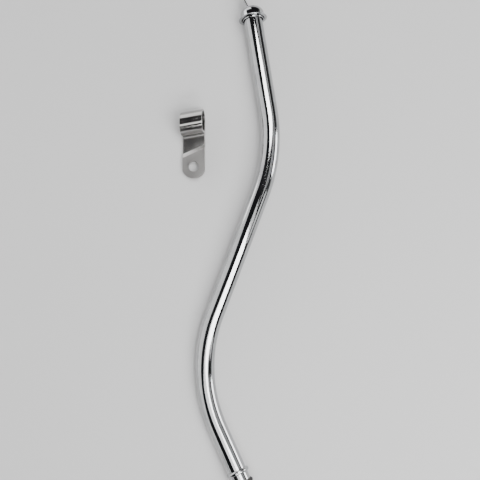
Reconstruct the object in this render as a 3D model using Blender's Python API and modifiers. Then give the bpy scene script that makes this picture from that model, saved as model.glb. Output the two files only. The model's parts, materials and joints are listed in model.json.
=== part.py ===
"""Transmission dipstick, filler tube and tube clamp, laid out flat on a surface.

Units are metres, +Z is up.  The S-bent tube is designed in its own flat plane (+Y towards the mouth,
+Z out of the plane) and that plane is then tilted so the tube rests on the cap's brim, on its lower
bend and on its stop bead.  The loose clamp lies beside it.  The origin is the middle of the footprint.
"""
import math

import bmesh
import bpy
from mathutils import Matrix, Vector

# ---------------------------------------------------------------- driving dimensions
GAP = 0.0003                      # between pieces that touch

TUBE_RADIUS = 0.0079375           # 5/8 in outside diameter
TUBE_WALL = 0.0009
MOUTH_HEADING = math.radians(9.2)         # run of the top straight, measured from -Y towards +X
TOP_STRAIGHT = 0.0807             # brim plane to the upper bend
UPPER_BEND_RADIUS = 0.142
UPPER_BEND_ANGLE = math.radians(-30.0)    # negative turns towards -X on the way down
MIDDLE_STRAIGHT = 0.1071
LOWER_BEND_RADIUS = 0.122
LOWER_BEND_ANGLE = math.radians(45.4)
BOTTOM_STRAIGHT = 0.0390          # lower bend to the stop bead
INSERT_LENGTH = 0.038             # stop bead to the open lower end
MOUTH_ABOVE_BRIM = 0.0042         # tube end inside the cap
BEND_STEP = math.radians(3.0)

BEAD_RISE = 0.0016625             # stop bead above the tube
BEAD_LENGTH = 0.0038
SEAL_LENGTH = 0.0060
SEAL_BELOW_BEAD = 0.0060
SEAL_RIB = 0.0006                 # how far the ribs stand out of the sleeve
SEAL_RIBS = 2

BRIM_OVERHANG = 0.0022            # brim beyond the crown
BRIM_THICKNESS = 0.0009
CROWN_WALL = 0.0006
CROWN_STRAIGHT = 0.0047           # height of the cylindrical part of the crown
DOME_HEIGHT = 0.0073
CAP_COCK = math.radians(6.0)      # the loosely pushed-on cap leans towards the surface
SLEEVE_WALL = 0.0005
SLEEVE_BELOW_BRIM = 0.0012
GASKET_THICKNESS = 0.0016
RETAINER_THICKNESS = 0.0008

STRIP_WIDTH = 0.00635             # 1/4 in spring steel strip
HANDLE_THICKNESS = 0.0013
BLADE_THICKNESS = 0.0008
HANDLE_OFFSET = 0.0025            # strip leaves the dome beside its top
HANDLE_LEAN = math.radians(17.5)
HANDLE_LOOP_RADIUS = 0.0095
HANDLE_LOOP_SWEEP = math.radians(285.0)
TONGUE_LENGTH = 0.018             # handle strip below the brim, riveted to the blade
RIVET_RADIUS = 0.0010
RIVET_HEAD_RADIUS = 0.0019
RIVET_HEAD_THICKNESS = 0.0006
RIVET_DEPTHS = (0.0075, 0.0135)   # below the brim
BLADE_START = 0.0040              # below the brim
BLADE_UPPER_SHORT = 0.0047        # how far above the upper bend the straight blade stops
BLADE_TIP_INSIDE = 0.0050         # rigid tip inside the tube's lower end
BLADE_TIP_OUTSIDE = 0.0500
LEVEL_HOLES = (0.0120, 0.0300)    # above the blade's tip
LEVEL_HOLE_RADIUS = 0.0010
TIP_CORNER = 0.0014               # depth of the cut corners

STRAP_WIDTH = 0.01905             # 3/4 in strip
STRAP_THICKNESS = 0.0013
CLAMP_CLEARANCE = 0.0007          # clamp loop over the tube
LOOP_SKEW = math.radians(8.5)     # the loop's axis runs slightly slantwise across the strap
JOGGLE_FROM_PINCH = 0.0121        # pinch to the middle of the step in both legs
JOGGLE_HEIGHT = 0.0012            # the holed ends stand higher than the rest of the legs
JOGGLE_RUN = 0.0034
JOGGLE_SKEW = math.radians(23.5)  # the step runs slantwise across the strap
HOLE_FROM_PINCH = 0.0255
HOLE_RADIUS = 0.00445             # clears a 5/16 in bolt
LEG_END_ROUNDING = 0.001          # radius of the legs' round ends beyond half the strap's width
PINCH_RADIUS = 0.0030
CLAMP_ROLL = math.radians(-7.0)

MOUTH_PLACE = Vector((0.0112, 0.1906))    # plan position of the brim centre
CLAMP_PLACE = Vector((-0.0393, 0.0638))   # plan position of the clamp's hole

# ---------------------------------------------------------------- derived sizes
BEAD_RADIUS = TUBE_RADIUS + BEAD_RISE
SLEEVE_BORE = TUBE_RADIUS / math.cos(CAP_COCK) + MOUTH_ABOVE_BRIM * math.tan(CAP_COCK) + GAP
SLEEVE_RADIUS = SLEEVE_BORE + SLEEVE_WALL
CROWN_BORE = SLEEVE_RADIUS + GAP
CROWN_RADIUS = CROWN_BORE + CROWN_WALL
BRIM_RADIUS = CROWN_RADIUS + BRIM_OVERHANG
GASKET_BASE = MOUTH_ABOVE_BRIM + TUBE_RADIUS * math.tan(CAP_COCK) + GAP
RETAINER_BASE = GASKET_BASE + GASKET_THICKNESS + GAP
CAP_HEIGHT = CROWN_STRAIGHT + DOME_HEIGHT
STRIP_HOLE_RADIUS = math.hypot(HANDLE_OFFSET + HANDLE_THICKNESS / 2, STRIP_WIDTH / 2) + GAP
BLADE_UPPER_END = TOP_STRAIGHT - BLADE_UPPER_SHORT
BLADE_SIDE = -HANDLE_OFFSET + HANDLE_THICKNESS / 2 + GAP + BLADE_THICKNESS / 2   # blade beside the tongue
BLADE_MIDDLE_SIDE = -BLADE_THICKNESS - GAP    # the drawn-up tip slides past beside the middle stretch
LOOP_RADIUS = TUBE_RADIUS + CLAMP_CLEARANCE + STRAP_THICKNESS / 2   # mid-line of the clamp's loop
LEG_PITCH = STRAP_THICKNESS + GAP                                  # mid-line to mid-line of the legs
LEG_END_RADIUS = STRAP_WIDTH / 2 + LEG_END_ROUNDING

SIDES = 28


def clear_scene():
    for thing in list(bpy.data.objects):
        bpy.data.objects.remove(thing, do_unlink=True)


def make_collection(name):
    group = bpy.data.collections.new(name)
    bpy.context.scene.collection.children.link(group)
    return group


clear_scene()
MODEL = make_collection("dipstick_and_filler_tube")
CUTTERS = make_collection("cutters")


def material(name, color, roughness, metallic):
    shade = bpy.data.materials.new(name)
    shade.use_nodes = True
    shader = shade.node_tree.nodes["Principled BSDF"]
    shader.inputs["Base Color"].default_value = (*color, 1.0)
    shader.inputs["Roughness"].default_value = roughness
    shader.inputs["Metallic"].default_value = metallic
    return shade


CHROME = material("chrome", (0.80, 0.80, 0.82), 0.06, 1.0)
ZINC = material("zinc_plate", (0.66, 0.66, 0.68), 0.28, 1.0)
SPRING_STEEL = material("spring_steel", (0.50, 0.50, 0.52), 0.32, 1.0)
RUBBER = material("black_rubber", (0.03, 0.03, 0.032), 0.7, 0.0)


# ---------------------------------------------------------------- modelling helpers
def add_object(name, data, shade, parent, group=None):
    thing = bpy.data.objects.new(name, data)
    (group or MODEL).objects.link(thing)
    if shade is not None:
        data.materials.append(shade)
    thing.parent = parent
    return thing


def add_empty(name, matrix, parent=None):
    holder = bpy.data.objects.new(name, None)
    MODEL.objects.link(holder)
    holder.parent = parent
    holder.matrix_local = matrix
    return holder


def to_mesh_object(source, name, shade, parent):
    """Replace an object by its evaluated mesh, welded shut, in the same place."""
    bpy.context.view_layer.update()
    depsgraph = bpy.context.evaluated_depsgraph_get()
    mesh = bpy.data.meshes.new_from_object(source.evaluated_get(depsgraph))
    bm = bmesh.new()
    bm.from_mesh(mesh)
    bmesh.ops.remove_doubles(bm, verts=bm.verts, dist=0.00001)
    bm.to_mesh(mesh)
    bm.free()
    place = source.matrix_world.copy()
    bpy.data.objects.remove(source, do_unlink=True)
    mesh.materials.clear()
    thing = add_object(name, mesh, shade, parent)
    thing.matrix_world = place
    return thing


def round_shading(thing):
    thing.data.shade_smooth()
    thing.data.set_sharp_from_angle(angle=math.radians(40.0))


def poly_curve(name, points, parent):
    curve = bpy.data.curves.new(name, "CURVE")
    curve.dimensions = "3D"
    spline = curve.splines.new("POLY")
    spline.points.add(len(points) - 1)
    for point, place in zip(spline.points, points):
        point.co = (*place, 1.0)
    return add_object(name, curve, None, parent)


def strip(name, route, width, thickness, shade, parent):
    """A flat strip that follows a flat route, its width along the parent's Z."""
    ribbon = poly_curve(name + "_route", [Vector((x, y, 0.0)) for x, y in route], parent)
    ribbon.data.extrude = width / 2
    thing = to_mesh_object(ribbon, name, shade, parent)
    shell = thing.modifiers.new("thickness", "SOLIDIFY")
    shell.thickness = thickness
    shell.offset = 0.0
    shell.use_even_offset = True
    return thing


def turned(name, profile, shade, parent, closed=True, group=None, sides=SIDES):
    """Turn a profile of (radius, height) about the parent's Y axis; it runs down its outer side."""
    mesh = bpy.data.meshes.new(name)
    count = len(profile)
    edges = [(i, i + 1) for i in range(count - 1)]
    if closed:
        edges.append((count - 1, 0))
    mesh.from_pydata([(radius, height, 0.0) for radius, height in profile], edges, [])
    thing = add_object(name, mesh, shade, parent, group)
    turn = thing.modifiers.new("turn", "SCREW")
    turn.axis = "Y"
    turn.steps = sides
    turn.render_steps = sides
    turn.use_merge_vertices = True
    turn.merge_threshold = 0.00001
    turn.use_smooth_shade = True
    return thing


def cut(target, cutter, operation="DIFFERENCE"):
    cutter.hide_render = True
    cutter.display_type = "WIRE"
    boolean = target.modifiers.new(cutter.name, "BOOLEAN")
    boolean.operation = operation
    boolean.solver = "EXACT"
    boolean.object = cutter


def rod_cutter(name, radius, length, place, axis, parent):
    mesh = bpy.data.meshes.new(name)
    bm = bmesh.new()
    bmesh.ops.create_cone(bm, cap_ends=True, segments=SIDES, radius1=radius, radius2=radius, depth=length)
    turn = Vector((0.0, 0.0, 1.0)).rotation_difference(Vector(axis)).to_matrix().to_4x4()
    bmesh.ops.transform(bm, matrix=Matrix.Translation(Vector(place)) @ turn, verts=bm.verts)
    bm.to_mesh(mesh)
    bm.free()
    return add_object(name, mesh, None, parent, CUTTERS)


def box_cutter(name, size, place, parent):
    mesh = bpy.data.meshes.new(name)
    bm = bmesh.new()
    bmesh.ops.create_cube(bm, size=1.0)
    bmesh.ops.scale(bm, vec=Vector(size), verts=bm.verts)
    bmesh.ops.translate(bm, vec=Vector(place), verts=bm.verts)
    bm.to_mesh(mesh)
    bm.free()
    return add_object(name, mesh, None, parent, CUTTERS)


# ---------------------------------------------------------------- the tube's centreline
def heading_vector(heading):
    return Vector((math.sin(heading), -math.cos(heading)))


def side_vector(heading):
    return Vector((math.cos(heading), math.sin(heading)))


class Route:
    """Straights and arcs walked in the tube's plane from the brim plane downwards."""

    def __init__(self, start, heading):
        self.place = Vector(start)
        self.heading = heading
        self.length = 0.0
        self.points = [(0.0, self.place.copy(), heading)]

    def straight(self, length, steps=1):
        for _ in range(steps):
            self.place = self.place + heading_vector(self.heading) * (length / steps)
            self.length += length / steps
            self.points.append((self.length, self.place.copy(), self.heading))

    def bend(self, radius, angle):
        steps = max(2, math.ceil(abs(angle) / BEND_STEP))
        turn = angle / steps
        for _ in range(steps):
            self.heading += turn / 2
            self.place = self.place + heading_vector(self.heading) * (2 * radius * math.sin(abs(turn) / 2))
            self.heading += turn / 2
            self.length += radius * abs(turn)
            self.points.append((self.length, self.place.copy(), self.heading))

    def at(self, length):
        """Place and heading at a distance below the brim plane; the ends run on straight."""
        before = self.points[0]
        for after in self.points[1:]:
            if length <= after[0]:
                break
            before = after
        share = (length - before[0]) / (after[0] - before[0])
        return before[1].lerp(after[1], share), before[2] + (after[2] - before[2]) * share

    def stretch(self, start, end, side=0.0):
        """The places from one distance to another with every corner between, side off the centreline."""
        inner = [(place, heading) for length, place, heading in self.points
                 if start + GAP < length < end - GAP]
        marks = [self.at(start), *inner, self.at(end)]
        return [place + side_vector(heading) * side for place, heading in marks]


def tube_route():
    route = Route((0.0, 0.0), MOUTH_HEADING)
    route.straight(TOP_STRAIGHT)
    route.bend(UPPER_BEND_RADIUS, UPPER_BEND_ANGLE)
    route.straight(MIDDLE_STRAIGHT)
    route.bend(LOWER_BEND_RADIUS, LOWER_BEND_ANGLE)
    route.straight(BOTTOM_STRAIGHT)
    route.straight(INSERT_LENGTH)
    return route


ROUTE = tube_route()
TUBE_END = ROUTE.length
BEAD_AT = TUBE_END - INSERT_LENGTH
LOWER_BEND_AT = BEAD_AT - BOTTOM_STRAIGHT - LOWER_BEND_RADIUS * LOWER_BEND_ANGLE / 2


def resting_plane():
    """Matrix that lays the tube's plane on the cap's brim, the lower bend and the stop bead."""
    supports = [
        (ROUTE.at(0.0)[0], BRIM_RADIUS * math.cos(CAP_COCK)),
        (ROUTE.at(LOWER_BEND_AT)[0], TUBE_RADIUS),
        (ROUTE.at(BEAD_AT)[0], BEAD_RADIUS),
    ]
    first, second, third = [Vector((place.x, place.y, height)) for place, height in supports]
    normal = (second - first).cross(third - first).normalized()
    if normal.z < 0.0:
        normal.negate()
    side = (Vector((1.0, 0.0, 0.0)) - normal * normal.x).normalized()
    turn = Matrix((side, normal.cross(side), normal)).transposed().to_4x4()
    return Matrix.Translation(Vector((*MOUTH_PLACE, supports[0][1]))) @ turn


def along_route(length):
    """Local matrix with +Y pointing back up the tube's centreline at this distance."""
    place, heading = ROUTE.at(length)
    return Matrix.Translation(Vector((*place, 0.0))) @ Matrix.Rotation(heading, 4, "Z")


# ---------------------------------------------------------------- tube and seal
def filler_tube(frame):
    mouth = ROUTE.at(0.0)[0] - heading_vector(MOUTH_HEADING) * MOUTH_ABOVE_BRIM
    places = [mouth, *ROUTE.stretch(0.0, TUBE_END)[1:]]
    path = poly_curve("filler_tube_route", [Vector((*place, 0.0)) for place in places], frame)
    path.data.bevel_depth = TUBE_RADIUS
    path.data.bevel_resolution = (SIDES - 4) // 2
    path.data.use_fill_caps = False
    tube = to_mesh_object(path, "filler_tube", CHROME, frame)
    wall = tube.modifiers.new("wall", "SOLIDIFY")
    wall.thickness = TUBE_WALL
    wall.offset = -1.0
    wall.use_even_offset = True
    half = BEAD_LENGTH / 2
    inner = TUBE_RADIUS - TUBE_WALL / 2
    crest = [(TUBE_RADIUS - GAP + (BEAD_RADIUS - TUBE_RADIUS + GAP) * math.sin(angle), half * math.cos(angle))
             for angle in [math.pi * step / 8 for step in range(9)]]
    bead = turned("stop_bead", [(inner, half), *crest, (inner, -half)], None, frame, group=CUTTERS)
    bead.matrix_local = along_route(BEAD_AT)
    cut(tube, bead, "UNION")
    round_shading(tube)
    return tube


def lower_seal(frame):
    inner = TUBE_RADIUS + GAP
    outer = BEAD_RADIUS - GAP
    root = outer - SEAL_RIB
    top = SEAL_LENGTH / 2
    pitch = SEAL_LENGTH / SEAL_RIBS
    profile = [(inner, top), (root, top)]
    for rib in range(SEAL_RIBS):
        start = top - rib * pitch
        profile += [(root, start - pitch * 0.2), (outer, start - pitch * 0.4),
                    (outer, start - pitch * 0.6), (root, start - pitch * 0.8)]
    profile += [(root, -top), (inner, -top)]
    seal = turned("lower_seal", profile, RUBBER, frame)
    seal.matrix_local = along_route(BEAD_AT + BEAD_LENGTH / 2 + SEAL_BELOW_BEAD + SEAL_LENGTH / 2)
    return seal


# ---------------------------------------------------------------- cap
def dome_arc(radius, height, steps=8):
    """Quarter ellipse from the top of the dome down to the crown's straight wall."""
    return [(radius * math.sin(math.pi / 2 * step / steps),
             CROWN_STRAIGHT + height * math.cos(math.pi / 2 * step / steps)) for step in range(steps + 1)]


def cap_shell(cap):
    outer = dome_arc(CROWN_RADIUS, DOME_HEIGHT)
    inner = dome_arc(CROWN_BORE, DOME_HEIGHT - CROWN_WALL)[::-1]
    brim = [
        (CROWN_RADIUS, BRIM_THICKNESS * 2),
        (CROWN_RADIUS + BRIM_THICKNESS / 2, BRIM_THICKNESS * 1.2),
        (BRIM_RADIUS - BRIM_THICKNESS / 3, BRIM_THICKNESS),
        (BRIM_RADIUS, BRIM_THICKNESS * 0.6),
        (BRIM_RADIUS, BRIM_THICKNESS * 0.2),
        (BRIM_RADIUS - BRIM_THICKNESS / 3, 0.0),
        (CROWN_BORE, 0.0),
    ]
    shell = turned("cap_shell", [*outer, *brim, *inner], CHROME, cap, closed=False, sides=40)
    slot = box_cutter("handle_slot", (HANDLE_THICKNESS + 4 * GAP, DOME_HEIGHT, STRIP_WIDTH + 2 * GAP),
                      (-HANDLE_OFFSET, CAP_HEIGHT - CROWN_WALL, 0.0), cap)
    cut(shell, slot)
    return shell


def cap_sleeve(cap):
    top = MOUTH_ABOVE_BRIM
    foot = -SLEEVE_BELOW_BRIM
    profile = [(SLEEVE_BORE, top), (SLEEVE_RADIUS, top), (SLEEVE_RADIUS, foot), (SLEEVE_BORE, foot)]
    return turned("cap_sleeve", profile, ZINC, cap)


def dome_bore_radius(height):
    rise = max(0.0, height - CROWN_STRAIGHT) / (DOME_HEIGHT - CROWN_WALL)
    return CROWN_BORE * math.sqrt(1.0 - rise * rise)


def strip_washer(name, base, thickness, shade, cap):
    outer = dome_bore_radius(base + thickness) - 2 * GAP
    return turned(name, [(STRIP_HOLE_RADIUS, base + thickness), (outer, base + thickness), (outer, base),
                         (STRIP_HOLE_RADIUS, base)], shade, cap)


# ---------------------------------------------------------------- dipstick
def handle_route():
    """Up through the dome beside its top, then leaning out and round into the finger loop."""
    lean = Vector((-math.sin(HANDLE_LEAN), math.cos(HANDLE_LEAN)))
    exit_place = Vector((-HANDLE_OFFSET, CAP_HEIGHT - CROWN_WALL))
    rise = (HANDLE_LOOP_RADIUS - HANDLE_OFFSET * math.cos(HANDLE_LEAN)) / math.sin(HANDLE_LEAN)
    centre = exit_place + Vector((HANDLE_OFFSET, rise))
    start = math.pi + HANDLE_LEAN
    steps = 26
    loop = []
    for step in range(steps + 1):
        angle = start - HANDLE_LOOP_SWEEP * step / steps
        loop.append(centre + Vector((math.cos(angle), math.sin(angle))) * HANDLE_LOOP_RADIUS)
    tongue = [Vector((-HANDLE_OFFSET, -TONGUE_LENGTH)), exit_place - Vector((0.0, 0.0012))]
    return [*tongue, exit_place + lean * 0.0012, *loop]


def handle_loop(cap):
    loop = strip("handle_loop", handle_route(), STRIP_WIDTH, HANDLE_THICKNESS, CHROME, cap)
    for index, depth in enumerate(RIVET_DEPTHS):
        hole = rod_cutter(f"tongue_hole_{index}", RIVET_RADIUS + GAP, STRIP_WIDTH,
                          (-HANDLE_OFFSET, -depth, 0.0), (1.0, 0.0, 0.0), cap)
        cut(loop, hole)
    return loop


def blade_rivet(name, depth, cap):
    """A two-headed rivet through the handle's tongue and the blade, along the cap's X axis."""
    low = -HANDLE_OFFSET - HANDLE_THICKNESS / 2 - GAP
    high = BLADE_SIDE + BLADE_THICKNESS / 2 + GAP
    profile = [(0.0, high + RIVET_HEAD_THICKNESS), (RIVET_HEAD_RADIUS, high + RIVET_HEAD_THICKNESS / 2),
               (RIVET_HEAD_RADIUS, high), (RIVET_RADIUS, high), (RIVET_RADIUS, low),
               (RIVET_HEAD_RADIUS, low), (RIVET_HEAD_RADIUS, low - RIVET_HEAD_THICKNESS / 2),
               (0.0, low - RIVET_HEAD_THICKNESS)]
    rivet = turned(name, profile, ZINC, cap, closed=False, sides=16)
    rivet.matrix_local = Matrix.Translation((0.0, -depth, 0.0)) @ Matrix.Rotation(math.radians(-90.0), 4, "Z")
    return rivet


def blade_upper(axis, cap):
    """Straight blade from the rivets down the top straight, pulled out together with the cap."""
    blade = strip("blade_upper", [(BLADE_SIDE, -BLADE_START), (BLADE_SIDE, -BLADE_UPPER_END)],
                  STRIP_WIDTH, BLADE_THICKNESS, SPRING_STEEL, axis)
    for index, depth in enumerate(RIVET_DEPTHS):
        hole = rod_cutter(f"blade_hole_{index}", RIVET_RADIUS + GAP, STRIP_WIDTH / 2,
                          (BLADE_SIDE, -depth, 0.0), (1.0, 0.0, 0.0), cap)
        cut(blade, hole)
    return blade


def blade_middle(frame):
    """The stretch that flexes through the bends as the dipstick is drawn."""
    places = ROUTE.stretch(BLADE_UPPER_END + GAP, TUBE_END - BLADE_TIP_INSIDE - GAP, BLADE_MIDDLE_SIDE)
    return strip("blade_middle", places, STRIP_WIDTH, BLADE_THICKNESS, SPRING_STEEL, frame)


def blade_tip(frame):
    """Straight end of the blade with two level holes and its corners cut off."""
    axis = add_empty("blade_tip_axis", along_route(TUBE_END), frame)
    blade = strip("blade_tip", [(0.0, BLADE_TIP_INSIDE), (0.0, -BLADE_TIP_OUTSIDE)],
                  STRIP_WIDTH, BLADE_THICKNESS, SPRING_STEEL, axis)
    for index, rise in enumerate(LEVEL_HOLES):
        hole = rod_cutter(f"level_hole_{index}", LEVEL_HOLE_RADIUS, STRIP_WIDTH,
                          (0.0, rise - BLADE_TIP_OUTSIDE, 0.0), (1.0, 0.0, 0.0), axis)
        cut(blade, hole)
    for side in (1, -1):
        corner = box_cutter(f"tip_corner_{side + 1}", (STRIP_WIDTH,) * 3, (0.0, 0.0, 0.0), axis)
        corner.matrix_local = (Matrix.Translation((0.0, -BLADE_TIP_OUTSIDE, side * STRIP_WIDTH / 2))
                               @ Matrix.Rotation(math.radians(-45.0 * side), 4, "X")
                               @ Matrix.Translation((0.0, TIP_CORNER - STRIP_WIDTH / 2, 0.0)))
        cut(blade, corner)
    return blade


# ---------------------------------------------------------------- clamp
def clamp_route():
    """Side view of the strap: lower leg, round the loop, pinch, upper leg.  +X to the loop, +Y up."""
    low = STRAP_THICKNESS / 2
    high = low + LEG_PITCH
    centre = Vector((0.0, low + LOOP_RADIUS))
    reach = math.sqrt((LOOP_RADIUS + PINCH_RADIUS) ** 2 - (centre.y - high - PINCH_RADIUS) ** 2)
    pinch = Vector((-reach, high + PINCH_RADIUS))
    meet = math.atan2(pinch.y - centre.y, pinch.x - centre.x)
    lower = [Vector((0.0, low))]
    sweep = meet % (2 * math.pi) - (-math.pi / 2)
    steps = 30
    for step in range(1, steps + 1):
        angle = -math.pi / 2 + sweep * step / steps
        lower.append(centre + Vector((math.cos(angle), math.sin(angle))) * LOOP_RADIUS)
    start = math.atan2(centre.y - pinch.y, centre.x - pinch.x)
    turns = 6
    for step in range(1, turns + 1):
        angle = start + (-math.pi / 2 - start) * step / turns
        lower.append(pinch + Vector((math.cos(angle), math.sin(angle))) * PINCH_RADIUS)
    return lower, pinch.x, low, high


def clamp_strap(frame):
    """One strip bent round: lower leg, loop, pinch, upper leg, with a slanting step in both legs."""
    loop, pinch_x, low, high = clamp_route()
    hole_x = pinch_x - HOLE_FROM_PINCH
    end_x = hole_x - LEG_END_RADIUS
    step_foot = pinch_x - JOGGLE_FROM_PINCH + JOGGLE_RUN / 2
    step_head = step_foot - JOGGLE_RUN
    legs = [(end_x, JOGGLE_HEIGHT), (step_head, JOGGLE_HEIGHT), (step_foot, 0.0), (pinch_x, 0.0)]
    lower_leg = [Vector((x, low + rise)) for x, rise in legs]
    upper_leg = [Vector((x, high + rise)) for x, rise in reversed(legs[:-1])]
    strap = strip("clamp_strap", [*lower_leg, *loop, *upper_leg], STRAP_WIDTH, STRAP_THICKNESS, CHROME, frame)
    for vertex in strap.data.vertices:
        if min(abs(vertex.co.x - step_foot), abs(vertex.co.x - step_head)) < GAP:
            vertex.co.x += vertex.co.z * math.tan(JOGGLE_SKEW)
        elif vertex.co.x > pinch_x - GAP:
            vertex.co.x += vertex.co.z * math.tan(LOOP_SKEW)
    hole = rod_cutter("bolt_hole", HOLE_RADIUS, 4 * LOOP_RADIUS, (hole_x, 0.0, 0.0), (0.0, 1.0, 0.0), frame)
    cut(strap, hole)
    cut(strap, end_round_cutter(hole_x, frame))
    return hole_x


def end_round_cutter(hole_x, frame):
    """The waste round the legs' rounded ends: a block with a half disc taken out."""
    depth = 4 * LOOP_RADIUS
    block = box_cutter("leg_end_waste", (2 * LEG_END_RADIUS, depth, 2 * STRAP_WIDTH),
                       (hole_x - LEG_END_RADIUS, 0.0, 0.0), frame)
    keep = rod_cutter("leg_end_keep", LEG_END_RADIUS - GAP, 2 * depth, (hole_x, 0.0, 0.0),
                      (0.0, 1.0, 0.0), frame)
    cut(block, keep)
    return block


# ---------------------------------------------------------------- assembly
def build_tube_and_dipstick():
    frame = add_empty("tube_plane", resting_plane())
    filler_tube(frame)
    lower_seal(frame)
    axis = add_empty("dipstick_axis", along_route(0.0), frame)
    cap = add_empty("cap_axis", Matrix.Rotation(-CAP_COCK, 4, "X"), axis)
    cap_shell(cap)
    cap_sleeve(cap)
    strip_washer("cap_gasket", GASKET_BASE, GASKET_THICKNESS, RUBBER, cap)
    strip_washer("cap_retainer", RETAINER_BASE, RETAINER_THICKNESS, ZINC, cap)
    handle_loop(cap)
    for name, depth in zip(("blade_rivet_upper", "blade_rivet_lower"), RIVET_DEPTHS):
        blade_rivet(name, depth, cap)
    blade_upper(axis, cap)
    blade_middle(frame)
    blade_tip(frame)
    return frame


def build_clamp():
    frame = add_empty("clamp_axis", Matrix.Identity(4))
    hole_x = clamp_strap(frame)
    upright = Matrix(((0.0, 0.0, 1.0), (1.0, 0.0, 0.0), (0.0, 1.0, 0.0))).to_4x4()
    place = Matrix.Translation((*CLAMP_PLACE, 0.0)) @ Matrix.Rotation(CLAMP_ROLL, 4, "Y")
    frame.matrix_local = place @ upright @ Matrix.Translation((-hole_x, 0.0, 0.0))
    return frame


def corners(things):
    """Lowest and highest corner of the evaluated objects, in world coordinates."""
    bpy.context.view_layer.update()
    depsgraph = bpy.context.evaluated_depsgraph_get()
    low = Vector((math.inf,) * 3)
    high = Vector((-math.inf,) * 3)
    for thing in things:
        evaluated = thing.evaluated_get(depsgraph)
        mesh = evaluated.to_mesh()
        for vertex in mesh.vertices:
            place = thing.matrix_world @ vertex.co
            low = Vector(map(min, low, place))
            high = Vector(map(max, high, place))
        evaluated.to_mesh_clear()
    return low, high


def settle(frames):
    """Each group comes down onto the surface, then all move so the origin is under their middle."""
    for frame in frames:
        low, _ = corners([thing for thing in MODEL.objects if thing.type == "MESH" and frame in chain(thing)])
        frame.matrix_local = Matrix.Translation((0.0, 0.0, -low.z)) @ frame.matrix_local
    low, high = corners([thing for thing in MODEL.objects if thing.type == "MESH"])
    middle = (low + high) / 2
    for frame in frames:
        frame.matrix_local = Matrix.Translation((-middle.x, -middle.y, 0.0)) @ frame.matrix_local


def chain(thing):
    while thing is not None:
        yield thing
        thing = thing.parent


settle([build_tube_and_dipstick(), build_clamp()])
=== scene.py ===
"""Looks of the transmission dipstick, its S-bent chrome filler tube and the loose strap clamp."""
import json
import math

import bmesh
import bpy
from mathutils import Matrix, Vector


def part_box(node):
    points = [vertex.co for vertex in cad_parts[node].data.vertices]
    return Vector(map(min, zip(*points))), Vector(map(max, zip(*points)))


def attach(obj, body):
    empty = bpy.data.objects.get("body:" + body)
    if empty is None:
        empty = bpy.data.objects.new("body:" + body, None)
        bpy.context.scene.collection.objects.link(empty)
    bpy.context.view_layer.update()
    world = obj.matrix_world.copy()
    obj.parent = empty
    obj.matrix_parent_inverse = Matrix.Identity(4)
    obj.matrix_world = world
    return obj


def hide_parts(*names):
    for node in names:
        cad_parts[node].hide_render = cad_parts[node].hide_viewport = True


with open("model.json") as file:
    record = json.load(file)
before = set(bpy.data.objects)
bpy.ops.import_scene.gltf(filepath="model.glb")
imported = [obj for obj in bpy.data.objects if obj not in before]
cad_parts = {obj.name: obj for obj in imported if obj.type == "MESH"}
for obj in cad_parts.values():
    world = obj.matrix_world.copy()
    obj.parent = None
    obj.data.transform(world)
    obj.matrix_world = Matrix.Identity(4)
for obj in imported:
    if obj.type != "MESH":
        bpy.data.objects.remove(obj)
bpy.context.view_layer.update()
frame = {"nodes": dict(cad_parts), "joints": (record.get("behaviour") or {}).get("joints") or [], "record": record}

# ---------------------------------------------------------------- sizes, as the frame has them (metres)
TUBE_RADIUS = 0.0079375
TUBE_WALL = 0.0009
MOUTH_HEADING = math.radians(9.2)
TOP_STRAIGHT = 0.0807
UPPER_BEND = (0.142, math.radians(-30.0))
MIDDLE_STRAIGHT = 0.1071
LOWER_BEND = (0.122, math.radians(45.4))
BOTTOM_STRAIGHT = 0.0390
INSERT_LENGTH = 0.038
MOUTH_ABOVE_BRIM = 0.0042
BEAD_RISE = 0.0016625
BEAD_RADIUS = TUBE_RADIUS + BEAD_RISE
BEAD_LENGTH = 0.0038
SEAL_LENGTH = 0.0060
SEAL_BELOW_BEAD = 0.0060
SEAL_RIB = 0.0006
SEAL_RIBS = 2

GAP = 0.0003
FACET_DEPTH = 0.00003              # how far a true circle would stand outside the frame's facets
CAP_COCK = math.radians(6.0)
SLEEVE_WALL = 0.0005
SLEEVE_BELOW_BRIM = 0.0012
SLEEVE_BORE = TUBE_RADIUS / math.cos(CAP_COCK) + MOUTH_ABOVE_BRIM * math.tan(CAP_COCK) + GAP
SLEEVE_RADIUS = SLEEVE_BORE + SLEEVE_WALL
CROWN_WALL = 0.0006
CROWN_RADIUS = SLEEVE_RADIUS + GAP + CROWN_WALL
BRIM_OVERHANG = 0.0022
BRIM_RADIUS = CROWN_RADIUS + BRIM_OVERHANG
BRIM_THICKNESS = 0.0009
CROWN_STRAIGHT = 0.0047
DOME_HEIGHT = 0.0073
GASKET_BASE = MOUTH_ABOVE_BRIM + TUBE_RADIUS * math.tan(CAP_COCK) + GAP
GASKET_THICKNESS = 0.0016

STRIP_WIDTH = 0.00635
HANDLE_THICKNESS = 0.0013
BLADE_THICKNESS = 0.0008
HANDLE_OFFSET = 0.0025
HANDLE_LEAN = math.radians(17.5)
HANDLE_LOOP_RADIUS = 0.0095
HANDLE_LOOP_SWEEP = math.radians(285.0)
TONGUE_LENGTH = 0.018
RIVET_RADIUS = 0.0010
RIVET_HEAD_RADIUS = 0.0019
RIVET_HEAD_THICKNESS = 0.0006
RIVET_DEPTHS = (0.0075, 0.0135)
BLADE_START = 0.0040
BLADE_UPPER_SHORT = 0.0047         # how far above the upper bend the straight blade stops
BLADE_UPPER_END = TOP_STRAIGHT - BLADE_UPPER_SHORT
BLADE_SIDE = -HANDLE_OFFSET + HANDLE_THICKNESS / 2 + GAP + BLADE_THICKNESS / 2
BLADE_MIDDLE_SIDE = -BLADE_THICKNESS - GAP    # the drawn-up tip slides past beside the middle stretch
BLADE_TIP_INSIDE = 0.0050
BLADE_TIP_OUTSIDE = 0.0500
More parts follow.
